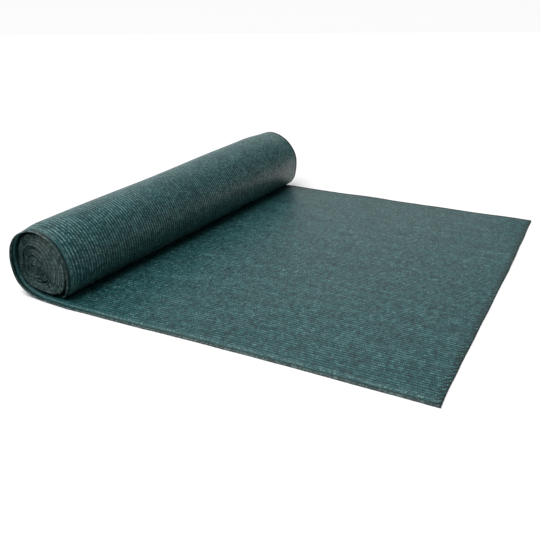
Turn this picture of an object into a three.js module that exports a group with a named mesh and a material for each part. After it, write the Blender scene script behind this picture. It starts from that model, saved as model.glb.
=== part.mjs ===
// A length of knitted privacy netting, 1 m wide, lying on the ground with one end still rolled up.
// The cloth is one piece: it lies flat from its free end, passes under the roll, climbs the back of it,
// comes over the top and down the front, tucks under and winds on inwards as the core of the roll.
// X runs along the unrolled cloth towards its free end, Y along the roll and Z up. Millimetres.
// The origin is under the middle of the whole thing, on the ground.
import * as THREE from "three";

const CLOTH_WIDTH = 1000; // selvedge to selvedge
const CLOTH_THICK = 2; // the loose cloth, with its relief
const HEM_THICK = 3; // the cloth at its selvedges and at its free end
const HEM_WIDE = 14; // over which a hem thins out into the cloth
// The cut end at each selvedge. "in" is how far that selvedge has moved towards +Y.
const FREE_END = {
  near: { x: 807, in: -3 },
  far: { x: 804.5, in: -13 },
};

// The outermost turn at each end of the roll: where the outside of the cloth passes along the near selvedge
// and along the far one, from the ground up the back, over the top and down the front to the ground cloth.
// The selvedges move in on the way, because the roll is wound a little askew. The far end of the roll is
// looser and fatter than the near one.
const OUTER_TURN = [
  { near: { x: 60, z: 0, in: -1.5 }, far: { x: 80, z: 0, in: 2 } },
  { near: { x: 20, z: 0, in: 1 }, far: { x: 40, z: 0, in: 2 } },
  { near: { x: -8, z: 0, in: 4 }, far: { x: 12, z: 0, in: 2.5 } },
  { near: { x: -30, z: 2.4, in: 6 }, far: { x: -12, z: 1.2, in: 3 } },
  { near: { x: -53, z: 9, in: 7 }, far: { x: -38, z: 10, in: 3.5 } },
  { near: { x: -76.5, z: 25.5, in: 8.5 }, far: { x: -62, z: 31, in: 4 } },
  { near: { x: -88.5, z: 48, in: 9.5 }, far: { x: -73.5, z: 55, in: 4.5 } },
  { near: { x: -93.3, z: 76, in: 10.5 }, far: { x: -79, z: 84, in: 5 } },
  { near: { x: -87, z: 107, in: 12 }, far: { x: -72, z: 118, in: 5.5 } },
  { near: { x: -67, z: 131, in: 13 }, far: { x: -49, z: 147, in: 6 } },
  { near: { x: -22, z: 145.5, in: 14 }, far: { x: 5, z: 166.5, in: 6.5 } },
  { near: { x: 21, z: 129, in: 15.5 }, far: { x: 55, z: 146.5, in: 7.5 } },
  { near: { x: 47, z: 86, in: 17 }, far: { x: 88, z: 98, in: 8 } },
  { near: { x: 51.5, z: 45, in: 18.5 }, far: { x: 88.5, z: 46, in: 8.5 } },
  { near: { x: 47, z: 22, in: 19 }, far: { x: 78, z: 20, in: 9 } },
  { near: { x: 34, z: 6, in: 19.5 }, far: { x: 61, z: 5.5, in: 9 } },
  { near: { x: 8, z: 4, in: 20.5 }, far: { x: 32, z: 4, in: 9.5 } },
  { near: { x: -22, z: 4.9, in: 21.5 }, far: { x: 4, z: 4.8, in: 10 } },
];

// The wound core. The outside of its cloth winds round an eye, low and towards the back. Each ring gives how
// far from the eye it lies after that many turns, in directions spaced evenly round the eye, from straight
// down towards the back. The turns are close together below and wider apart at the top and the front.
const CORE_TURNS = 11;
const EYE_RING = { turn: CORE_TURNS, radii: [4] };
const CORE = {
  near: {
    eye: { x: -49.7, z: 57.6 },
    in: 22,
    rings: [
      { turn: 0, radii: [45.4, 38.5, 34.1, 33.5, 37.5, 53.6, 77.1, 91.5, 95.4, 92, 84.5, 55] },
      { turn: 4, radii: [29.6, 25.4, 22.8, 22.5, 24.6, 38, 51.7, 56.4, 55.6, 52, 49.9, 38] },
      { turn: 7, radii: [18.6, 16.3, 14.8, 14.5, 15.8, 24, 30.7, 29.5, 30.4, 29.2, 28.8, 24] },
      EYE_RING,
    ],
  },
  far: {
    eye: { x: -23, z: 60 },
    in: 10,
    rings: [
      { turn: 0, radii: [48.5, 41.4, 39.5, 42.4, 51.5, 67.5, 86, 102, 108, 101, 84, 58.5] },
      EYE_RING,
    ],
  },
};
const TURN_GAP = 1; // between one turn of the core and the next
const LEAST_HOLE = 1.5; // radius of the hole in the eye
const FILL_OVER = 45; // degrees in which the cloth grows to fill the room between two turns

// The turns of the core lie in three bundles, and the second and third lie a little deeper than the first.
const BUNDLES = [
  { turn: 4, deeper: 3 },
  { turn: 7, deeper: 1 },
];
const BUNDLE_STEP = 60; // degrees in which a bundle gives way to the next

// Between its ends the roll is fuller, because its selvedges are drawn in. It swells by this much over the
// distance "within" from each selvedge, and not near the ground: only from the height fromZ to toZ.
const FULLER = { by: 6, within: { near: 50, far: 120 }, fromZ: 10, toZ: 60 };

const FULL_TURN = 360;
const FLAT_STEPS = 6;
const STEPS_PER_ROW = 4; // of the outer turn's table
const CORE_STEP = 15; // degrees

const lerp = THREE.MathUtils.lerp;
const smoothstep = THREE.MathUtils.smoothstep;

// From the eye of the core outwards, after the core has turned this far from straight down.
function outward(turned) {
  const angle = THREE.MathUtils.degToRad(-90 - turned);
  return new THREE.Vector3(Math.cos(angle), 0, Math.sin(angle));
}

// How far one ring of the core lies from the eye, in the direction that the core has turned to.
function ringRadius(ring, turned) {
  const place = (turned / FULL_TURN) * ring.radii.length;
  const before = Math.floor(place);
  const [from, to] = [before, before + 1].map((i) => ring.radii[i % ring.radii.length]);
  return lerp(from, to, place - before);
}

// How far the outside of the core's cloth lies from the eye, which goes on shrinking past the last turn.
function coreRadius(end, turned) {
  const turns = turned / FULL_TURN;
  const { rings } = CORE[end];
  const start = rings.findLast((ring) => ring.turn <= turns && ring !== EYE_RING);
  const next = rings[rings.indexOf(start) + 1];
  const share = (turns - start.turn) / (next.turn - start.turn);
  return lerp(ringRadius(start, turned), ringRadius(next, turned), share);
}

// The point of the core's section that lies this far from the eye.
function corePoint(end, turned, radius) {
  const { eye } = CORE[end];
  return new THREE.Vector3(eye.x, 0, eye.z).addScaledVector(outward(turned), radius);
}

// The radius of the inside of the core's cloth, which soon fills the room up to the next turn.
function coreInsideRadius(end, turned, thick) {
  const thin = coreRadius(end, turned) - thick;
  const full = Math.max(coreRadius(end, turned + FULL_TURN) + TURN_GAP, LEAST_HOLE);
  return lerp(thin, full, smoothstep(turned, 0, FILL_OVER));
}

// How far a selvedge of the core has moved along Y.
function coreShift(end, turned) {
  let deeper = 0;
  for (const bundle of BUNDLES) {
    const from = bundle.turn * FULL_TURN;
    deeper = lerp(deeper, bundle.deeper, smoothstep(turned, from, from + BUNDLE_STEP));
  }
  return CORE[end].in + deeper;
}

// One selvedge's way round the outer turn, up to where the core takes over.
function outerTurn(end) {
  const points = OUTER_TURN.map((row) => new THREE.Vector3(row[end].x, row[end].in, row[end].z));
  points.push(corePoint(end, 0, coreRadius(end, 0)).setY(CORE[end].in));
  return new THREE.CatmullRomCurve3(points);
}
const OUTER = { near: outerTurn("near"), far: outerTurn("far") };

// Every row of the cloth from the free end to the eye, each with the stretch that it belongs to.
function rowsOfCloth() {
  const rows = [{ stretch: "flat", along: 0, cutEnd: true }];
  for (let i = 0; i < FLAT_STEPS; i += 1) rows.push({ stretch: "flat", along: i / FLAT_STEPS });
  const outerSteps = OUTER_TURN.length * STEPS_PER_ROW;
  for (let i = 0; i < outerSteps; i += 1) rows.push({ stretch: "outer", along: i / outerSteps });
  const last = CORE_TURNS * FULL_TURN;
  for (let turned = 0; turned <= last; turned += CORE_STEP) rows.push({ stretch: "core", turned });
  return rows;
}

// A point of one selvedge's section, on the outside of the cloth or on the inside.
function sectionPoint(row, end, side, thick, fuller) {
  if (row.stretch === "core") {
    const outside = side === "outside";
    const radius = outside ? coreRadius(end, row.turned) : coreInsideRadius(end, row.turned, thick);
    return corePoint(end, row.turned, radius).setY(coreShift(end, row.turned));
  }
  if (row.stretch === "flat") {
    const start = FREE_END[end].x - (row.cutEnd ? 0 : HEM_WIDE);
    const finish = OUTER_TURN[0][end];
    const x = lerp(start, finish.x, row.along);
    return new THREE.Vector3(x, lerp(FREE_END[end].in, finish.in, row.along), side === "outside" ? 0 : thick);
  }
  const point = OUTER[end].getPoint(row.along);
  const ahead = OUTER[end].getTangent(row.along);
  const inwards = new THREE.Vector3(ahead.z, 0, -ahead.x).normalize();
  point.z = Math.max(point.z, 0);
  point.addScaledVector(inwards, -fuller * smoothstep(point.z, FULLER.fromZ, FULLER.toZ));
  return side === "outside" ? point : point.addScaledVector(inwards, thick);
}

// The cloth as one closed strip: a ring of points for each row, over the outside and back over the inside.
function clothGeometry() {
  const { near: nearWithin, far: farWithin } = FULLER.within;
  const fromFar = [farWithin, HEM_WIDE, 0].map((across) => CLOTH_WIDTH - across);
  const stations = [0, HEM_WIDE, nearWithin, ...fromFar];

  function ringPoint(row, side, across) {
    const atHem = across === 0 || across === CLOTH_WIDTH || row.cutEnd;
    const thick = atHem ? HEM_THICK : CLOTH_THICK;
    const swelling = smoothstep(across, 0, nearWithin) * smoothstep(CLOTH_WIDTH - across, 0, farWithin);
    const fuller = FULLER.by * swelling;
    const near = sectionPoint(row, "near", side, thick, fuller);
    const far = sectionPoint(row, "far", side, thick, fuller);
    const point = near.lerp(far, across / CLOTH_WIDTH);
    return [point.x, point.y + across, point.z];
  }

  const rings = rowsOfCloth().map((row) => [
    ...stations.map((across) => ringPoint(row, "outside", across)),
    ...[...stations].reverse().map((across) => ringPoint(row, "inside", across)),
  ]);

  const around = 2 * stations.length;
  const index = [];
  for (let row = 0; row + 1 < rings.length; row += 1) {
    for (let i = 0; i < around; i += 1) {
      const a = row * around + i;
      const b = row * around + ((i + 1) % around);
      index.push(a, a + around, b, b, a + around, b + around);
    }
  }
  // The cut ends of the strip, a quad between each two stations.
  const lastRing = (rings.length - 1) * around;
  for (let i = 0; i + 1 < stations.length; i += 1) {
    const opposite = around - 1 - i;
    index.push(i, i + 1, opposite, i + 1, opposite - 1, opposite);
    index.push(lastRing + i, lastRing + opposite, lastRing + i + 1);
    index.push(lastRing + i + 1, lastRing + opposite, lastRing + opposite - 1);
  }
  const geometry = new THREE.BufferGeometry();
  geometry.setAttribute("position", new THREE.Float32BufferAttribute(rings.flat(2), 3));
  geometry.setIndex(index);
  geometry.computeVertexNormals();
  return geometry;
}

function netting() {
  const geometry = clothGeometry();
  geometry.computeBoundingBox();
  const middle = geometry.boundingBox.getCenter(new THREE.Vector3());
  geometry.translate(-middle.x, -middle.y, 0);
  const knit = new THREE.MeshStandardMaterial({ color: 0x2c4f50, roughness: 0.6, metalness: 0 });
  const mesh = new THREE.Mesh(geometry, knit);
  mesh.name = "netting";
  return mesh;
}

const part = new THREE.Group();
part.name = "privacy_netting_roll";
part.add(netting());

export default part;
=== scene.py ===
# %% [markdown]
# # A length of privacy netting, half unrolled
# The real thing is one piece of knitted netting, 1 m wide and nearly 4 m long, as it is put up on
# fences. It lies on the ground with its free end unrolled, and the rest of it is still wound up
# along one side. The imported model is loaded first, as a frame that says how big everything is and
# where it lies.

# %% Load the frame
import math
import bpy
import numpy as np
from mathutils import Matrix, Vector, noise


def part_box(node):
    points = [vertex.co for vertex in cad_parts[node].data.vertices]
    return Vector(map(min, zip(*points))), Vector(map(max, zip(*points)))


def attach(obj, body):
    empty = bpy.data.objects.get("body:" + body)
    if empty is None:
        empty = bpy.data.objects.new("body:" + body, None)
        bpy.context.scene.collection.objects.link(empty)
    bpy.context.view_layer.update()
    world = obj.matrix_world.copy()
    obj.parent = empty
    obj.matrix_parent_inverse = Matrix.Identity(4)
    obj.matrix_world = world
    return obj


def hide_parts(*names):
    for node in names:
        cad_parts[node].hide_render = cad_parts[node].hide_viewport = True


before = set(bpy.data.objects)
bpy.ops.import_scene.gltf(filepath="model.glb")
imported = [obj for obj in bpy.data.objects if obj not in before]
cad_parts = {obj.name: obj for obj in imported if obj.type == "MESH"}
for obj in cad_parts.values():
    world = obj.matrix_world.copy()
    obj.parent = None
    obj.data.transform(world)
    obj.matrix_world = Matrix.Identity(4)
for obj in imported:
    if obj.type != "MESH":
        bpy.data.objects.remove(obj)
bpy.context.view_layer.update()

low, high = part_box("netting")
print("the netting's box in mm:", [round(1000 * (b - a)) for a, b in zip(low, high)])

# %% [markdown]
# ## Where the camera stands
# The photo looks down on the roll's near end from the free end's side. The direction, distance
# and lens were worked out from the outline in the photo, with the cloth taken as 1 m wide.

# %% Camera
LOOK_AT = Vector((-0.0256, -0.1441, 0.0))
AZIMUTH = math.radians(27.19)
ELEVATION = math.radians(22.86)
DISTANCE = 1.5354
LENS = 45.4
SENSOR = 36

back = Vector((
    math.sin(AZIMUTH) * math.cos(ELEVATION),
    -math.cos(AZIMUTH) * math.cos(ELEVATION),
    math.sin(ELEVATION),
))
camera = bpy.data.objects.new("camera", bpy.data.cameras.new("camera"))
camera.data.lens = LENS
camera.data.sensor_width = SENSOR
camera.location = LOOK_AT + back * DISTANCE
camera.rotation_mode = "QUATERNION"
camera.rotation_quaternion = (-back).to_track_quat("-Z", "Y")
scene = bpy.context.scene
scene.collection.objects.link(camera)
scene.camera = camera
print("the camera stands at", [round(x, 3) for x in camera.location])

# %% [markdown]
# ## The way that the cloth goes round
# A roll is a sheet that follows one long path. Seen along the roll, that path comes in flat from
# the free end, leaves the ground, goes up the back, over the top, down the front and in
# underneath, and then winds on to the middle. The near selvedge and the far one take slightly
# different ways, because the far end of the roll is looser. So both ways are given, and the cloth
# is stretched between them. A simulation could wind a sheet up, but its turns would never lie
# where the photo shows them.

# %% Sizes of the path, in millimetres
CLOTH_WIDTH = 1000
# The cut end at each selvedge: across the roll, and how far the selvedge has moved in by then.
FREE_END = {"near": (807, -3), "far": (804.5, -13)}
# The outside of the outermost turn at each selvedge: across the roll, up, and how far it has
# moved in.
OUTER_TURN = [
    {"near": (60, 0, -1.5), "far": (80, 0, 2)},
    {"near": (20, 0, 1), "far": (40, 0, 2)},
    {"near": (-8, 0, 4), "far": (12, 0, 2.5)},
    {"near": (-30, 2.4, 6), "far": (-12, 1.2, 3)},
    {"near": (-53, 9, 7), "far": (-38, 10, 3.5)},
    {"near": (-76.5, 25.5, 8.5), "far": (-62, 31, 4)},
    {"near": (-88.5, 48, 9.5), "far": (-73.5, 55, 4.5)},
    {"near": (-93.3, 76, 10.5), "far": (-79, 84, 5)},
    {"near": (-87, 107, 12), "far": (-72, 118, 5.5)},
    {"near": (-67, 131, 13), "far": (-49, 147, 6)},
    {"near": (-22, 145.5, 14), "far": (5, 166.5, 6.5)},
    {"near": (21, 129, 15.5), "far": (55, 146.5, 7.5)},
    {"near": (47, 86, 17), "far": (88, 98, 8)},
    {"near": (51.5, 45, 18.5), "far": (88.5, 46, 8.5)},
    {"near": (44.5, 23, 19), "far": (78, 20, 9)},
    {"near": (31, 7, 24), "far": (61, 5.5, 9)},
    {"near": (8, 4, 33), "far": (32, 4, 9.5)},
    {"near": (-22, 4.9, 36), "far": (4, 4.8, 10)},
]

# %% [markdown]
# The table has a row for every few centimetres. A Catmull-Rom curve passes through all of its
# points, so no handles have to be set, and the centripetal kind doesn't overshoot where the rows
# stand close together, as they do where the cloth tucks in.

# %% A smooth curve through the rows
def smooth_curve(points, along):
    """The points at each value of along, which runs from 0 at the first row to 1 at the last."""
    points = np.array(points, float)
    ends = 2 * points[0] - points[1], 2 * points[-1] - points[-2]
    padded = np.vstack([ends[0], points, ends[1]])
    place = np.clip(np.asarray(along), 0, 1) * (len(points) - 1)
    row = np.minimum(place.astype(int), len(points) - 2)
    share = (place - row)[:, None]
    before, start, end, after = (padded[row + i] for i in range(4))
    spans = (before, start), (start, end), (end, after)
    first, middle, last = (np.linalg.norm(b - a, axis=1, keepdims=True) ** 0.5 for a, b in spans)
    slopes = (start - before) / first, (end - start) / middle, (after - end) / last
    leave = slopes[0] - (end - before) / (first + middle) + slopes[1]
    arrive = slopes[1] - (after - start) / (middle + last) + slopes[2]
    leave, arrive = leave * middle, arrive * middle
    square = -3 * start + 3 * end - 2 * leave - arrive
    cube = 2 * start - 2 * end + leave + arrive
    return start + leave * share + square * share**2 + cube * share**3


# %% [markdown]
# The core is a spiral round an eye that lies low and at the back, because the roll has sagged.
# Its turns aren't circles: they are close together below and wider apart at the top and the
# front. So each ring is given as distances from the eye in evenly spaced directions, which start
# straight down and go towards the back, and the spiral passes from one ring to the next.

# %% The core of the roll
FULL_TURN = 360
CORE_TURNS = 11
EYE_RING = {"turn": CORE_TURNS, "radii": [4]}
NEAR_RINGS = [
    {"turn": 0, "radii": [45.4, 38.5, 34.1, 33.5, 37.5, 53.6, 77.1, 91.5, 97, 99, 94, 57]},
    {"turn": 4, "radii": [29.6, 25.4, 22.8, 22.5, 24.6, 38, 51.7, 56.4, 55.6, 52, 49.9, 38]},
    {"turn": 7, "radii": [18.6, 16.3, 14.8, 14.5, 15.8, 24, 30.7, 29.5, 30.4, 29.2, 28.8, 24]},
    EYE_RING,
]
FAR_RINGS = [
    {"turn": 0, "radii": [48.5, 41.4, 39.5, 42.4, 51.5, 67.5, 86, 102, 108, 101, 84, 58.5]},
    EYE_RING,
]
# The eye is given across the roll and up. "in" is how far the selvedge has moved in by then.
CORE = {
    "near": {"eye": (-49.7, 57.6), "in": 22, "rings": NEAR_RINGS},
    "far": {"eye": (-23, 60), "in": 10, "rings": FAR_RINGS},
}


def outward(turned):
    """From the eye outwards, after turning this many degrees from straight down."""
    angle = np.radians(-90 - turned)
    return np.stack([np.cos(angle), np.sin(angle)], -1)


def ring_radius(ring, turned):
    """A smooth closed curve through a ring's distances."""
    radii = np.array(ring["radii"], float)
    place = turned / FULL_TURN * len(radii)
    whole = np.floor(place).astype(int)
    t = place - whole
    before, start, end, after = (radii[(whole + i) % len(radii)] for i in (-1, 0, 1, 2))
    bend = 2 * before - 5 * start + 4 * end - after + t * (3 * (start - end) + after - before)
    return start + 0.5 * t * (end - before + t * bend)


def core_radius(end, turned):
    """How far the outside of the core's cloth lies from the eye."""
    turns = turned / FULL_TURN
    rings = CORE[end]["rings"]
    radius = np.zeros_like(turns)
    for ring, after in zip(rings, rings[1:]):
        share = (turns - ring["turn"]) / (after["turn"] - ring["turn"])
        between = ring_radius(ring, turned) * (1 - share) + ring_radius(after, turned) * share
        radius = np.where(turns >= ring["turn"], between, radius)
    return radius


def core_outside(end, turned):
    """Across the roll and up, on the outside of the core's cloth."""
    return np.array(CORE[end]["eye"]) + core_radius(end, turned)[:, None] * outward(turned)


# %% [markdown]
# The turns lie in three bundles. Each bundle after the first is pushed in a little deeper, with a
# wider gap before it at the top and the front, and both show as a dark ring.

# %% Bundles
BUNDLES = [{"turn": 4, "deeper": 6, "gap": 3}, {"turn": 7, "deeper": 10, "gap": 2.4}]
BUNDLE_STEP = 60
TURN_GAP = 0.9
# Where in its turn a wider gap lies, and over how many degrees it opens and closes.
GAP_FROM, GAP_TO = 165, 345
OPENS_OVER, CLOSES_OVER = 60, 50
# Where the cloth enters the core it tucks in deeper, and it comes back out over part of a turn.
TUCK = {"near": 14, "far": 0}
TUCK_OVER = 200


def smoothstep(x, start, end):
    """0 up to start, 1 from end on, and a soft step in between."""
    t = np.clip((x - start) / (end - start), 0, 1)
    return t * t * (3 - 2 * t)


def core_shift(end, turned):
    """How far in the core's selvedge lies at one end of the roll."""
    deeper = TUCK[end] * (1 - smoothstep(turned, 0, TUCK_OVER))
    for bundle in BUNDLES:
        start = bundle["turn"] * FULL_TURN
        share = smoothstep(turned, start, start + BUNDLE_STEP)
        deeper = deeper * (1 - share) + bundle["deeper"] * share
    return CORE[end]["in"] + deeper


def turn_gap(turned):
    """The gap between this turn of the core and the next one."""
    gap = np.full(turned.shape, TURN_GAP)
    for bundle in BUNDLES:
        before = (bundle["turn"] - 1) * FULL_TURN
        opens = smoothstep(turned, before + GAP_FROM, before + GAP_FROM + OPENS_OVER)
        closes = smoothstep(turned, before + GAP_TO - CLOSES_OVER, before + GAP_TO)
        gap += bundle["gap"] * opens * (1 - closes)
    return gap


# %% [markdown]
# ## Rows along the cloth
# The cloth is laid out as a grid: rows follow each other along its length, and columns lie side
# by side across its width. Each stretch gets as many rows as its bends need: few on the flat,
# more round the outermost turn, where facets would show in the outline, and one every 12 degrees
# in the core.

# %% Rows
CUT_ROWS = [0, 0.8, 2, 4, 6.5, 9, 11.5, 14, 20]
FLAT_ROWS = 30
OUTER_ROWS = 74
CORE_STEP = 12


def rows_of(end):
    """For each row of one selvedge: across the roll, up, how far in, and the way to the inside."""
    cut = [FREE_END[end][0] - x for x in CUT_ROWS]
    start, _, start_in = OUTER_TURN[0][end]
    flat_x = np.concatenate([cut[:-1], np.linspace(cut[-1], start, FLAT_ROWS, endpoint=False)])
    flat_in = np.interp(flat_x, (start, cut[0]), (start_in, FREE_END[end][1]))
    flat = np.stack([flat_x, 0 * flat_x, flat_in], -1)

    table = [row[end] for row in OUTER_TURN]
    join = core_outside(end, np.array([0.0]))[0]
    table.append((join[0], join[1], CORE[end]["in"] + TUCK[end]))
    outer = smooth_curve(table, np.linspace(0, 1, OUTER_ROWS, endpoint=False))
    outer[:, 1] = np.maximum(outer[:, 1], 0)

    turned = np.arange(0, CORE_TURNS * FULL_TURN + 1, CORE_STEP, dtype=float)
    core = np.column_stack([core_outside(end, turned), core_shift(end, turned)])

    points = np.vstack([flat, outer, core])
    ahead = np.gradient(points[:, :2], axis=0)
    ahead /= np.linalg.norm(ahead, axis=1, keepdims=True)
    inwards = np.stack([ahead[:, 1], -ahead[:, 0]], -1)
    return points, inwards


near_way, near_inwards = rows_of("near")
far_way, far_inwards = rows_of("far")
N_FLAT = len(CUT_ROWS) - 1 + FLAT_ROWS
CORE_START = N_FLAT + OUTER_ROWS
step = np.linalg.norm(np.diff((near_way + far_way)[:, :2] / 2, axis=0), axis=1)
along_cloth = np.concatenate([[0], np.cumsum(step)])
print(f"{len(near_way)} rows along {along_cloth[-1] / 1000:.2f} m of cloth")

# %% [markdown]
# ## Columns across the cloth
# The knit has raised ribs that run the whole length, 7.6 mm apart, so the columns fall on the
# ribs and in the furrows between them. Each selvedge is knitted tighter: a round bead, a deep
# furrow beside it and a flatter ridge, and it gets columns of its own. The core only shows its
# ends, so in there the columns between the selvedges are few.

# %% Columns
RIB_PITCH = 7.6
HEM_COLUMNS = [0, 0.4, 1.2, 2.4, 3.8, 5.4, 6.8, 7.8, 8.8, 10.0, 11.4, 13.2, 15.4, 17.4, 19.0]
HEM_WIDE = HEM_COLUMNS[-1]
SPARSE_STEP = 120


def mirrored(columns):
    return [CLOTH_WIDTH - x for x in reversed(columns)]


first_rib = HEM_WIDE + RIB_PITCH / 2
rib_columns = list(np.arange(first_rib, CLOTH_WIDTH - first_rib, RIB_PITCH / 2))
dense = np.array(HEM_COLUMNS + rib_columns + mirrored(HEM_COLUMNS))
inner_columns = list(np.arange(SPARSE_STEP, CLOTH_WIDTH - SPARSE_STEP + 1, SPARSE_STEP))
sparse = np.array(HEM_COLUMNS + inner_columns + mirrored(HEM_COLUMNS))
print(f"{len(dense)} columns where the cloth shows, {len(sparse)} in the core")

# %% [markdown]
# ## How thick the cloth is
# The knit is about 2 mm thick on its ribs. The bead along a selvedge is 3 mm, and its edge is
# rounded. In the core the selvedges puff up until each turn nearly fills the room up to the next,
# which is why the end of a real roll looks like a solid disc of rings.

# %% Thickness
KNIT_THICK = 2.0
RIB_DEPTH = 0.3
BEAD_THICK = 3.0
BEAD_ENDS = (5.4, 8)
LIP_ROUND, LIP_THINNED = 2.2, 0.94
FURROW = {"at": 7.8, "half": 2.6, "deep": 0.9}
RIDGE = {"at": 15.4, "half": 4.5, "high": 0.35}
LEAST_HOLE = 1.2
PUFFED_TO = (9, 20)


def bump_at(distance, at, half):
    """1 in the middle of a bump, falling to 0 at its sides."""
    return np.clip(1 - ((distance - at) / half) ** 2, 0, 1)


def relief(across):
    """How much one face of the knit stands out (above 0) or lies back (below 0)."""
    edge = np.minimum(across, CLOTH_WIDTH - across)
    ribs = -RIB_DEPTH * (0.5 - 0.5 * np.cos(2 * np.pi * (across - first_rib) / RIB_PITCH))
    ribs = ribs * smoothstep(edge, HEM_WIDE - 1, first_rib)
    bead = (BEAD_THICK - KNIT_THICK) / 2 * (1 - smoothstep(edge, *BEAD_ENDS))
    furrow = -FURROW["deep"] * bump_at(edge, FURROW["at"], FURROW["half"])
    ridge = RIDGE["high"] * bump_at(edge, RIDGE["at"], RIDGE["half"])
    return ribs + bead + furrow + ridge


def lip(distance, round_over):
    """The share of the thickness that is left close to an edge that is rounded over."""
    t = np.clip(1 - distance / round_over, 0, 1)
    return np.sqrt(1 - LIP_THINNED * t * t)


# %% [markdown]
# ## Laying out the points
# Every row is stretched from the near selvedge to the far one. Between its ends the roll is a
# little fuller, because the selvedges are drawn in. Real netting also never lies quite even, so
# soft noise moves it by a millimetre or two: out and in on the roll, up on the flat part, and
# along its own edge.

# %% Points of the cloth
FULLER = {"by": 6, "near": 50, "far": 120, "from": 10, "to": 60}
# The core's cloth grows to fill its room over this many degrees, and is never thinner than this.
FILL_OVER, LEAST_THICK = 45, 1.2
# The rows over which the flat part's own waves die out.
FLAT_STOPS = (N_FLAT - 4, N_FLAT + 6)
# Each wave has a height, a size along the cloth and across it, and a seed.
ROLL_WAVE = {"high": 0.9, "sizes": (70, 260), "seed": 3.1}
FLAT_WAVE = {"high": 1.6, "sizes": (150, 230), "seed": 7.7}
SELVEDGE_WAVE = {"high": 0.5, "sizes": (60, 4000), "seed": 1.3}
CUT_WAVE = {"high": 0.5, "sizes": (5000, 90), "seed": 5.9}
FLAT_RAISED = 0.15
# How far the near selvedge bows in, by the way from the cut end.
NEAR_BOW = [(0, 0), (107, 1.7), (207, 2.8), (270, 4), (407, 3.5), (507, 2.4), (607, 0.8), (747, 0)]
# How far the cut end bows out, by the way across.
CUT_BOW = [
    (0, 0), (70, -1), (150, -1.3), (250, 0), (350, 1),
    (500, 1.7), (620, 2.6), (750, 2), (1000, -0.4),
]


def wave_field(wave, length, across):
    """Soft noise between about -1 and 1 over the given rows and columns."""
    size_along, size_across = wave["sizes"]
    return np.array([
        [2 * noise.noise(Vector((a / size_along, c / size_across, wave["seed"]))) for c in across]
        for a in length
    ])


def lay_out(rows, across):
    """Outside and inside points, in millimetres, for these rows and columns."""
    share = (across / CLOTH_WIDTH)[None, :, None]
    way = near_way[rows][:, None, :] * (1 - share) + far_way[rows][:, None, :] * share
    inwards = near_inwards[rows][:, None, :] * (1 - share) + far_inwards[rows][:, None, :] * share
    inwards /= np.linalg.norm(inwards, axis=2, keepdims=True)
    edge = np.minimum(across, CLOTH_WIDTH - across)[None, :]
    length = along_cloth[rows]
    up = way[..., 1]
    raised = smoothstep(up, FULLER["from"], FULLER["to"])
    is_core = (rows >= CORE_START)[:, None]

    # The outer turn stands out between the selvedges, and not near the ground.
    fuller = smoothstep(across, 0, FULLER["near"])
    fuller = fuller * smoothstep(CLOTH_WIDTH - across, 0, FULLER["far"])
    swell = FULLER["by"] * fuller[None, :] * raised
    swell = swell + ROLL_WAVE["high"] * wave_field(ROLL_WAVE, length, across) * raised
    swell = np.where(is_core, 0, swell)
    outside = way[..., :2] - inwards * swell[..., None]

    # In the core each selvedge fills the room up to the next turn.
    thick = np.full(up.shape, KNIT_THICK)
    turned = np.maximum(rows - CORE_START, 0) * float(CORE_STEP)
    room = {}
    for end in ("near", "far"):
        inner = np.maximum(core_radius(end, turned + FULL_TURN) + turn_gap(turned), LEAST_HOLE)
        room[end] = core_radius(end, turned) - inner
    full = room["near"][:, None] * (1 - share[..., 0]) + room["far"][:, None] * share[..., 0]
    grown = smoothstep(turned, 0, FILL_OVER)[:, None] * (1 - smoothstep(edge, *PUFFED_TO))
    thick = thick * (1 - grown) + np.maximum(full, LEAST_THICK) * grown
    surface = relief(across)[None, :] * (1 - grown)

    cut = lip(length, LIP_ROUND)[:, None]
    half = (thick / 2 + surface) * lip(edge, LIP_ROUND) * cut
    middle = outside + inwards * (thick / 2 + np.maximum(surface, 0))[..., None]

    # The flat part lifts a little here and there, and its edges aren't quite straight.
    flat = (1 - smoothstep(rows, *FLAT_STOPS))[:, None]
    lifted = np.maximum(wave_field(FLAT_WAVE, length, across) + FLAT_RAISED, 0)
    lift = lifted * FLAT_WAVE["high"] * flat
    bow = np.interp(length, *zip(*NEAR_BOW))[:, None] * (1 - share[..., 0])
    y = across[None, :] + way[..., 2] + bow
    y = y + SELVEDGE_WAVE["high"] * wave_field(SELVEDGE_WAVE, length, across)
    cut_wave = CUT_WAVE["high"] * wave_field(CUT_WAVE, length, across)
    x_shift = (np.interp(across, *zip(*CUT_BOW)) + cut_wave) * flat

    faces = []
    for sign in (-1, 1):
        flank = middle + sign * inwards * half[..., None]
        faces.append(np.stack([flank[..., 0] + x_shift, y, flank[..., 1] + lift], -1))
    return faces


dense_rows = np.arange(0, CORE_START + 1)
sparse_rows = np.arange(CORE_START + 1, len(near_way))
dense_faces = lay_out(dense_rows, dense)
sparse_faces = lay_out(sparse_rows, sparse)
print("points:", 2 * (dense_faces[0].size + sparse_faces[0].size) // 3)

# %% [markdown]
# ## Joining the points with faces
# Both faces of the cloth are grids, and a narrow strip closes its edges all round. Where the many
# columns of the outermost turn meet the few of the core, hidden under the roll, the two rows are
# zipped together with triangles, so that the cloth stays one closed skin.

# %% Faces
def quads(numbers, flip):
    """The four-sided faces of one grid of points."""
    a, b = numbers[:-1, :-1], numbers[:-1, 1:]
    c, d = numbers[1:, 1:], numbers[1:, :-1]
    order = (a, d, c, b) if flip else (a, b, c, d)
    return np.stack(order, -1).reshape(-1, 4).tolist()


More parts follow.
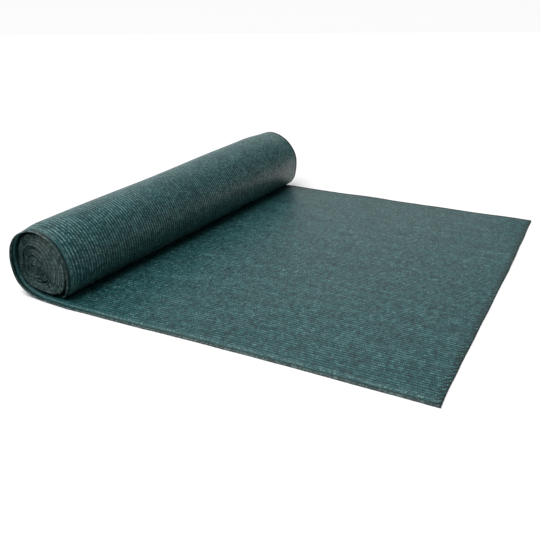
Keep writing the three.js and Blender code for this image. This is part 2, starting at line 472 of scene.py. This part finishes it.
def zipped(first, first_across, second, second_across, flip):
    """Triangles between two rows with different columns."""
    triangles = []
    i = j = 0
    while i < len(first) - 1 or j < len(second) - 1:
        step_first = j == len(second) - 1 or (
            i < len(first) - 1 and first_across[i + 1] <= second_across[j + 1]
        )
        if step_first:
            triangle = [first[i], first[i + 1], second[j]]
            i += 1
        else:
            triangle = [first[i], second[j + 1], second[j]]
            j += 1
        triangles.append(triangle[::-1] if flip else triangle)
    return triangles


points, faces, cloth_uv, side_uv = [], [], [], []
numbers = {}
count = 0
for name, rows, across, sides in (
    ("dense", dense_rows, dense, dense_faces),
    ("sparse", sparse_rows, sparse, sparse_faces),
):
    size = len(rows) * len(across)
    for is_inside, (side, grid) in enumerate(zip(("outside", "inside"), sides)):
        numbers[name, side] = count + np.arange(size).reshape(len(rows), len(across))
        count += size
        points.append(grid.reshape(-1, 3))
        u, v = np.meshgrid(along_cloth[rows], across, indexing="ij")
        cloth_uv.append(np.stack([u, v], -1).reshape(-1, 2))
        side_uv.append(np.full((size, 2), float(is_inside)))

for side, flip in (("outside", True), ("inside", False)):
    faces += quads(numbers["dense", side], flip)
    faces += quads(numbers["sparse", side], flip)
    last, first = numbers["dense", side][-1], numbers["sparse", side][0]
    faces += zipped(last.tolist(), dense, first.tolist(), sparse, flip)


def close_edge(outside, inside, flip):
    """A strip of faces between the edges of the two grids."""
    for i in range(len(outside) - 1):
        face = [outside[i], inside[i], inside[i + 1], outside[i + 1]]
        faces.append([int(x) for x in (face[::-1] if flip else face)])


for column, flip in ((0, True), (-1, False)):
    edges = [
        np.concatenate([numbers["dense", side][:, column], numbers["sparse", side][:, column]])
        for side in ("outside", "inside")
    ]
    close_edge(*edges, flip)
close_edge(numbers["dense", "outside"][0], numbers["dense", "inside"][0], False)
close_edge(numbers["sparse", "outside"][-1], numbers["sparse", "inside"][-1], True)

# %% [markdown]
# ## One mesh
# The points are in millimetres, measured from the roll, so they are moved to the place that the
# frame gives: the free end at the frame's far side in X, and the near selvedge at its near side
# in Y. The place of each point in the flat cloth is kept as a UV map, in metres, for the knit to
# follow. A second UV map is 0 on the outside of the roll and 1 on the inside, which is the upper
# face where the cloth lies flat.

# %% Make the cloth
MM = 0.001
all_points = np.vstack(points) * MM
home = np.array([high.x - FREE_END["near"][0] * MM, low.y - FREE_END["near"][1] * MM, 0])
mesh = bpy.data.meshes.new("netting_cloth")
mesh.from_pydata((all_points + home).tolist(), [], faces)
mesh.validate()
loop_points = np.empty(len(mesh.loops), dtype=np.int32)
mesh.loops.foreach_get("vertex_index", loop_points)
for name, values in (("cloth", np.vstack(cloth_uv) * MM), ("side", np.vstack(side_uv))):
    layer = mesh.uv_layers.new(name=name)
    layer.data.foreach_set("uv", values[loop_points].astype(np.float32).ravel())
mesh.polygons.foreach_set("use_smooth", [True] * len(mesh.polygons))
mesh.update()
cloth = bpy.data.objects.new("netting_cloth", mesh)
scene.collection.objects.link(cloth)
triangles = sum(len(p.vertices) - 2 for p in mesh.polygons)
print(f"cloth: {len(mesh.vertices)} points, {triangles} triangles")

# %% [markdown]
# ## The knit
# Privacy netting is knitted from flat plastic tape. A chain of small loops runs along each rib,
# and from rib to rib the tape lies to and fro, with small gaps. At this distance that reads as
# rows of bright dots on a darker ground, and both are painted into the colour: a painted highlight
# on each loop, and painted shade in each gap. All of it is worked out from the place in the flat
# cloth, so it follows every bend. Real loops in mesh would need millions of triangles, and none
# of them would be seen.

# %% Small helpers for sums in a material
knit = bpy.data.materials.new("knit")
knit.use_nodes = True
nodes, links = knit.node_tree.nodes, knit.node_tree.links
nodes.clear()


def feed(socket, value):
    """Set a socket to a number or a colour, or join it to another node's output."""
    if isinstance(value, bpy.types.NodeSocket):
        links.new(value, socket)
    elif isinstance(value, tuple):
        socket.default_value = (*value, 1)
    else:
        socket.default_value = value


def math_node(operation, *values):
    node = nodes.new("ShaderNodeMath")
    node.operation = operation
    for socket, value in zip(node.inputs, values):
        feed(socket, value)
    return node.outputs[0]


def times(*values):
    product = values[0]
    for value in values[1:]:
        product = math_node("MULTIPLY", product, value)
    return product


def plus(*values):
    total = values[0]
    for value in values[1:]:
        total = math_node("ADD", total, value)
    return total


def ramp(value, from_low, from_high, to_low=0.0, to_high=1.0):
    """A soft step from to_low to to_high, while the value goes from from_low to from_high."""
    node = nodes.new("ShaderNodeMapRange")
    node.interpolation_type = "SMOOTHSTEP"
    links.new(value, node.inputs["Value"])
    limits = {"From Min": from_low, "From Max": from_high, "To Min": to_low, "To Max": to_high}
    for name, number in limits.items():
        node.inputs[name].default_value = number
    return node.outputs["Result"]


def fall(value, start, end):
    """1 up to start and 0 from end on."""
    return ramp(value, start, end, 1.0, 0.0)


def combine(x, y, z=0.0):
    node = nodes.new("ShaderNodeCombineXYZ")
    for socket, value in zip(node.inputs, (x, y, z)):
        feed(socket, value)
    return node.outputs[0]


def mix_colour(share, first, second):
    """The first colour where the share is 0, and the second where it is 1."""
    node = nodes.new("ShaderNodeMix")
    node.data_type = "RGBA"
    links.new(share, node.inputs["Factor"])
    for name, value in (("A", first), ("B", second)):
        feed([s for s in node.inputs if s.name == name and s.type == "RGBA"][0], value)
    return [s for s in node.outputs if s.type == "RGBA"][0]


# %% [markdown]
# The UV map gives the way along the cloth and across it, in metres. Dividing them by the size of
# a stitch and of a rib numbers every stitch of the cloth. Neighbouring ribs are half a stitch
# apart, so their loops are staggered.

# %% Where a point is in the knit
STITCH = 3.9


def uv_place(name):
    """The two coordinates of one of the mesh's UV maps."""
    uv_map = nodes.new("ShaderNodeUVMap")
    uv_map.uv_map = name
    split = nodes.new("ShaderNodeSeparateXYZ")
    links.new(uv_map.outputs["UV"], split.inputs[0])
    return split.outputs["X"], split.outputs["Y"]


along, across = (times(metres, 1 / MM) for metres in uv_place("cloth"))
upper_face = uv_place("side")[0]

rib_count = times(math_node("SUBTRACT", across, first_rib), 1 / RIB_PITCH)
rib_number = math_node("ROUND", rib_count)
off_rib = math_node("SUBTRACT", rib_count, rib_number)
stagger = times(math_node("MODULO", rib_number, 2.0), 0.5)
stitch_count = plus(times(along, 1 / STITCH), stagger)
stitch_number = math_node("ROUND", stitch_count)
off_stitch = math_node("SUBTRACT", stitch_count, stitch_number)


# %% [markdown]
# No two loops catch the light alike, so each stitch draws its own random number. White noise
# gives the same number everywhere in one cell, and soft noise gives slow changes over the cloth.

# %% Chance and soft noise
def chance(x, y, seed):
    """A random number from 0 to 1 for each pair of whole numbers."""
    node = nodes.new("ShaderNodeTexWhiteNoise")
    node.noise_dimensions = "3D"
    links.new(combine(x, y, seed), node.inputs["Vector"])
    return node.outputs["Value"]


def soft(size_along, size_across, seed, detail=1.0):
    """Soft noise round 0.5, with blotches of about this size in millimetres."""
    node = nodes.new("ShaderNodeTexNoise")
    node.inputs["Scale"].default_value = 1.0
    node.inputs["Detail"].default_value = detail
    place = combine(times(along, 1 / size_along), times(across, 1 / size_across), seed)
    links.new(place, node.inputs["Vector"])
    return node.outputs["Fac"]


# Each stitch's chance sets how bright the painted highlight on its loop is.
glint_luck = chance(stitch_number, rib_number, 0.5)
gap_luck = chance(math_node("FLOOR", stitch_count), math_node("FLOOR", rib_count), 1.5)


# %% [markdown]
# A loop is a small drop on the rib. The tape between the ribs slants one way and then the other,
# and where it leaves a gap, the gap is painted dark as shade.

# %% Loops, tape and gaps
def hill(value, half):
    """1 where the value is 0, falling softly to 0 at half on either side."""
    return fall(math_node("ABSOLUTE", value), 0.0, half)


def wave(count):
    """1 at whole numbers and 0 halfway between them."""
    return math_node("MULTIPLY_ADD", math_node("COSINE", times(count, 2 * math.pi)), 0.5, 0.5)


# A loop's half width, as a share of the way from rib to rib and from stitch to stitch.
LOOP_ACROSS, LOOP_ALONG = 0.22, 0.5
# The tape lies beside the rib from here on, and its gaps open between these heights of the wave.
BESIDE_RIB, GAP_OPENS = (0.2, 0.34), (0.55, 0.95)
FINE_LINES = 4.0

loops = times(hill(off_rib, LOOP_ACROSS), hill(off_stitch, LOOP_ALONG))
slant_way = math_node("MULTIPLY_ADD", math_node("MODULO", rib_number, 2.0), 2.0, -1.0)
slant = times(off_rib, slant_way)
tape_edges = wave(plus(stitch_count, slant, 0.5))
ground = ramp(math_node("ABSOLUTE", off_rib), *BESIDE_RIB)
gaps = times(ground, ramp(tape_edges, *GAP_OPENS))
fine_tape = wave(plus(times(stitch_count, FINE_LINES), times(slant, FINE_LINES)))

# %% [markdown]
# Over larger areas the netting is uneven too. Single ribs are lighter or darker for a hand's
# length, short dashes lie along them where a tape has turned over, and broad soft patches come
# from the way it was wound.

# %% Ribs, dashes and patches
# Sizes along the cloth and across it, in millimetres. Dashes on neighbouring ribs are shifted.
RIB_TONE, PATCH, BAND = (170, RIB_PITCH), (90, 20), (2000, 36)
DASH_LONG, DASH_SHIFT = 9, 0.37

rib_tone = soft(*RIB_TONE, seed=3.0)
dash_count = plus(times(along, 1 / DASH_LONG), times(rib_number, DASH_SHIFT))
dash_cell = chance(math_node("FLOOR", dash_count), rib_number, 2.5)
patches = soft(*PATCH, seed=4.0, detail=3.0)
bands = soft(*BAND, seed=6.0)

# %% [markdown]
# The selvedge has its own knit: a round bead of dull thread, a deep groove that is painted black
# as shade, and a flat bright band that ends in a thin dark line. The cut end is darker, with
# slanting stitches across it.

# %% Selvedge and cut end
# Millimetres from the selvedge.
HEM_STOPS, BEAD_STOPS = (18.5, 20.5), (5.0, 6.2)
GROOVE_AT, GROOVE_SIDES = 7.4, (1.2, 2.2)
BAND_STARTS, BAND_STOPS = (9.0, 13.0), (17.5, 19.5)
HEM_LINE_AT, HEM_LINE_HALF = 19.8, 0.9
HEM_STITCH = (2.6, 2.2)
# Millimetres from the cut end, and the steps of the slanting stitches across and along.
CUT_STOPS, RIM_STOPS = (10.0, 14.0), (0.8, 2.2)
TICK_STEPS, TICK_EDGES = (13, 16), (0.4, 0.75)

edge = math_node("MINIMUM", across, math_node("SUBTRACT", float(CLOTH_WIDTH), across))
in_hem = fall(edge, *HEM_STOPS)
bead = fall(edge, *BEAD_STOPS)
# The groove gets painted shade.
groove_shade = fall(math_node("ABSOLUTE", math_node("SUBTRACT", edge, GROOVE_AT)), *GROOVE_SIDES)
band = times(ramp(edge, *BAND_STARTS), fall(edge, *BAND_STOPS))
hem_line = hill(math_node("SUBTRACT", edge, HEM_LINE_AT), HEM_LINE_HALF)
hem_along = math_node("FLOOR", times(along, 1 / HEM_STITCH[0]))
hem_across = math_node("FLOOR", times(edge, 1 / HEM_STITCH[1]))
hem_luck = chance(hem_along, hem_across, 5.5)
at_cut = fall(along, *CUT_STOPS)
tick_count = plus(times(across, 1 / TICK_STEPS[0]), times(along, 1 / TICK_STEPS[1]))
cut_ticks = ramp(wave(tick_count), *TICK_EDGES)
cut_rim = fall(along, *RIM_STOPS)

# %% [markdown]
# All of this first makes one number, how light each spot is. Then a colour ramp turns it into
# colour, from the near black of the painted shade in the gaps, through the plastic's own
# blue-green, to the pale blue-green of the painted highlight on a loop that catches the light.

# %% How light each spot is
# The painted highlights on the loops and the painted shade in the gaps are weaker on the upper
# face of the flat part, which is a little darker too.
TAPE_LIGHT, UPPER_DARKER = 0.46, -0.025
UPPER_GLINTS, UPPER_GAP_SHADE = -0.58, -0.35
# Every loop adds a painted highlight and every gap takes away painted shade, at least the first
# number each, and by chance more.
GLINT_LEAST, GLINT_MORE, GLINT_RARITY = 0.25, 0.95, 1.5
GAP_SHADE_LEAST, GAP_SHADE_MORE = -0.36, -0.40


def uneven(value, strength):
    """Lighter where the value is over a half and darker where it is under."""
    return times(math_node("SUBTRACT", value, 0.5), strength)


glint_strength = math_node("MULTIPLY_ADD", upper_face, UPPER_GLINTS, 1.0)
gap_shade_strength = math_node("MULTIPLY_ADD", upper_face, UPPER_GAP_SHADE, 1.0)
painted_glint = math_node("POWER", glint_luck, GLINT_RARITY)
# The loops get a painted highlight and the gaps painted shade, besides the knit's own uneven tone.
lightness = plus(
    math_node("MULTIPLY_ADD", upper_face, UPPER_DARKER, TAPE_LIGHT),
    times(loops, glint_strength, math_node("MULTIPLY_ADD", painted_glint, GLINT_MORE, GLINT_LEAST)),
    times(gaps, gap_shade_strength, math_node("MULTIPLY_ADD", gap_luck, GAP_SHADE_MORE, GAP_SHADE_LEAST)),
    uneven(gap_luck, 0.24),
    uneven(fine_tape, 0.08),
    uneven(rib_tone, 0.16),
    uneven(dash_cell, 0.16),
    uneven(patches, 0.07),
    uneven(bands, 0.14),
)
colour_ramp = nodes.new("ShaderNodeValToRGB")
links.new(lightness, colour_ramp.inputs["Fac"])
# The lowest stop is the painted shade of the gaps, and the top stop the painted highlight of a
# loop.
TONES = {
    0.0: (0.0004, 0.005, 0.006),
    0.25: (0.002, 0.026, 0.029),
    0.42: (0.006, 0.062, 0.065),
    0.62: (0.028, 0.125, 0.127),
    1.0: (0.300, 0.450, 0.450),
}
stops = colour_ramp.color_ramp.elements
while len(stops) < len(TONES):
    stops.new(0.5)
for stop, (place, tone) in zip(stops, TONES.items()):
    stop.position = place
    stop.color = (*tone, 1)
knit_colour = colour_ramp.outputs["Color"]
# The upper face gets a painted sheen in soft spots, a paler grey over the tape, not in its gaps.
SHEEN_GREY = (0.040, 0.078, 0.082)
SHEEN_SPOT, SHEEN_EDGES, SHEEN_MOST = (60, 18), (0.42, 0.78), 0.4
TAPE_SHOWS = (0.2, 0.5)
sheen_patches = ramp(soft(*SHEEN_SPOT, seed=8.0, detail=3.0), *SHEEN_EDGES)
painted_sheen = times(sheen_patches, ramp(lightness, *TAPE_SHOWS), upper_face, SHEEN_MOST)
# Painted sheen: a paler grey standing in for reflected light on the upper face.
knit_colour = mix_colour(painted_sheen, knit_colour, SHEEN_GREY)

# %% [markdown]
# The selvedges and the cut end have colours of their own. They are mixed over the knit one after
# another, each with a share that is 1 where the new colour shows alone.

# %% Colour of the selvedge and the cut end
BEAD_DULL, BEAD_LIGHT = (0.008, 0.030, 0.030), (0.080, 0.140, 0.134)
BAND_DULL, BAND_LIGHT = (0.010, 0.068, 0.071), (0.120, 0.220, 0.220)
BLACK = (0.0008, 0.004, 0.0045)
BEAD_CHANCE, BAND_CHANCE = (0.3, 1.0), (0.35, 1.0)
LINE_DARK, RIM_DARK = 0.7, 0.8
CUT_DARK, TICK_DARK = 0.05, 0.75

bead_colour = mix_colour(ramp(hem_luck, *BEAD_CHANCE), BEAD_DULL, BEAD_LIGHT)
band_colour = mix_colour(times(band, ramp(hem_luck, *BAND_CHANCE)), BAND_DULL, BAND_LIGHT)
hem_colour = mix_colour(bead, band_colour, bead_colour)
# The groove is painted black as shade, and the thin line at the band's end is black too.
hem_colour = mix_colour(plus(groove_shade, times(hem_line, LINE_DARK)), hem_colour, BLACK)
colour = mix_colour(in_hem, knit_colour, hem_colour)
cut_share = times(at_cut, math_node("MULTIPLY_ADD", cut_ticks, TICK_DARK, CUT_DARK))
colour = mix_colour(cut_share, colour, BLACK)
colour = mix_colour(times(cut_rim, RIM_DARK), colour, BLACK)

# %% [markdown]
# The plastic is slightly glossy. Bump nodes tilt the surface on every loop, so that the light
# breaks up into points, while the ribs themselves are in the mesh.

# %% Surface
SHINE = 0.42
ROUGH, ROUGHER_IN_GAPS = 0.35, 0.3
BUMP_STRENGTH, BUMP_DISTANCE = 0.6, 0.0008
LOOP_HIGH = 0.8

shader = nodes.new("ShaderNodeBsdfPrincipled")
output = nodes.new("ShaderNodeOutputMaterial")
links.new(shader.outputs[0], output.inputs["Surface"])
links.new(colour, shader.inputs["Base Color"])
shader.inputs["Specular IOR Level"].default_value = SHINE
links.new(math_node("MULTIPLY_ADD", gaps, ROUGHER_IN_GAPS, ROUGH), shader.inputs["Roughness"])
bump = nodes.new("ShaderNodeBump")
bump.inputs["Strength"].default_value = BUMP_STRENGTH
bump.inputs["Distance"].default_value = BUMP_DISTANCE
height = math_node("SUBTRACT", times(loops, LOOP_HIGH), gaps)
links.new(height, bump.inputs["Height"])
links.new(bump.outputs[0], shader.inputs["Normal"])
mesh.materials.append(knit)

# %% [markdown]
# ## Floor and light
# The photo was taken on plain white. So the floor is a white square, and so large that its edges
# are far off. It lies half a millimetre under the cloth.

# %% Floor
FLOOR_HALF = 60
FLOOR_UP = -0.0005
FLOOR_WHITE, FLOOR_ROUGH = 0.96, 0.9

corners = [(-1, -1), (1, -1), (1, 1), (-1, 1)]
floor_points = [(x * FLOOR_HALF, y * FLOOR_HALF, FLOOR_UP) for x, y in corners]
floor_mesh = bpy.data.meshes.new("floor")
floor_mesh.from_pydata(floor_points, [], [(0, 1, 2, 3)])
floor = bpy.data.objects.new("floor", floor_mesh)
scene.collection.objects.link(floor)
pale = bpy.data.materials.new("pale_floor")
pale.use_nodes = True
pale_shader = pale.node_tree.nodes["Principled BSDF"]
pale_shader.inputs["Base Color"].default_value = (FLOOR_WHITE, FLOOR_WHITE, FLOOR_WHITE, 1)
pale_shader.inputs["Roughness"].default_value = FLOOR_ROUGH
floor_mesh.materials.append(pale)

# %% [markdown]
# A white wall stands all round at the floor's edge, so that a low view doesn't end in a grey
# horizon. It only shows to the camera: it neither lights the cloth nor keeps the sunlight out.

# %% Backdrop
WALL_SIDES = 48
WALL_FOOT, WALL_HIGH = -0.5, 60

ring = [2 * math.pi * i / WALL_SIDES for i in range(WALL_SIDES)]
wall_points = [
    (FLOOR_HALF * math.cos(a), FLOOR_HALF * math.sin(a), z)
    for z in (WALL_FOOT, WALL_HIGH)
    for a in ring
]
next_one = [(i + 1) % WALL_SIDES for i in range(WALL_SIDES)]
wall_faces = [(i, j, WALL_SIDES + j, WALL_SIDES + i) for i, j in enumerate(next_one)]
wall_mesh = bpy.data.meshes.new("backdrop")
wall_mesh.from_pydata(wall_points, [], wall_faces)
wall = bpy.data.objects.new("backdrop", wall_mesh)
scene.collection.objects.link(wall)
white = bpy.data.materials.new("white_wall")
white.use_nodes = True
white_shader = white.node_tree.nodes["Principled BSDF"]
white_shader.inputs["Base Color"].default_value = (0, 0, 0, 1)
white_shader.inputs["Emission Color"].default_value = (1, 1, 1, 1)
white_shader.inputs["Emission Strength"].default_value = 1.0
wall_mesh.materials.append(white)
wall.visible_diffuse = wall.visible_glossy = False
wall.visible_transmission = wall.visible_shadow = False

# %% [markdown]
# The light in the photo is very broad and soft, and comes from above. A sun with a wide angle
# gives such a light evenly over the whole floor, which an area light near the roll doesn't. A
# little light comes from the sky all round, and the standard view keeps the whites white.

# %% Sky and light
SKY = 0.16
LIGHT_FROM = Vector((-0.3, -0.22, 1))
LIGHT_ANGLE = 65
LIGHT_STRENGTH = 3.0


def hang(light, place, aim):
    """Put a light at this place and turn it towards the aim."""
    lamp = bpy.data.objects.new(light.name, light)
    lamp.location = place
    lamp.rotation_mode = "QUATERNION"
    lamp.rotation_quaternion = (aim - place).to_track_quat("-Z", "Y")
    scene.collection.objects.link(lamp)


world = bpy.data.worlds.new("studio")
world.use_nodes = True
sky = world.node_tree.nodes["Background"]
sky.inputs["Color"].default_value = (1, 1, 1, 1)
sky.inputs["Strength"].default_value = SKY
scene.world = world

light = bpy.data.lights.new("overhead", "SUN")
light.angle = math.radians(LIGHT_ANGLE)
light.energy = LIGHT_STRENGTH
hang(light, LIGHT_FROM, Vector((0, 0, 0)))
scene.view_settings.view_transform = "Standard"

# %% [markdown]
# A big panel stands low behind the roll's far end. The cloth that lies flat mirrors it towards
# the camera, which gives the flat part its pale shine. Close to the roll, the roll is in the way
# and the cloth stays darker than further out.

# %% Panel behind the roll
PANEL = {"place": Vector((-3.6, 5.5, 2.6)), "wide": 8.0, "high": 4.4, "power": 70}
panel_light = bpy.data.lights.new("panel", "AREA")
panel_light.shape = "RECTANGLE"
panel_light.size, panel_light.size_y = PANEL["wide"], PANEL["high"]
panel_light.energy = PANEL["power"]
hang(panel_light, PANEL["place"], Vector((0, 0, 0)))

# %% [markdown]
# A smaller soft light hangs over the near end, for the top of the roll there. The photo also has
# a bright shine on the shoulder where the cloth curls in, and this light is too weak for that.

# %% Light over the near end
NEAR_LIGHT = {
    "place": Vector((-0.15, -1.15, 1.45)),
    "aim": Vector((-0.33, -0.4, 0.1)),
    "size": 0.7,
    "power": 6,
}
near_light = bpy.data.lights.new("near_light", "AREA")
near_light.size = NEAR_LIGHT["size"]
near_light.energy = NEAR_LIGHT["power"]
hang(near_light, NEAR_LIGHT["place"], NEAR_LIGHT["aim"])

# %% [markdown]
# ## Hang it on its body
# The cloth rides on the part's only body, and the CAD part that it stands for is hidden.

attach(cloth, "root")
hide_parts("netting")
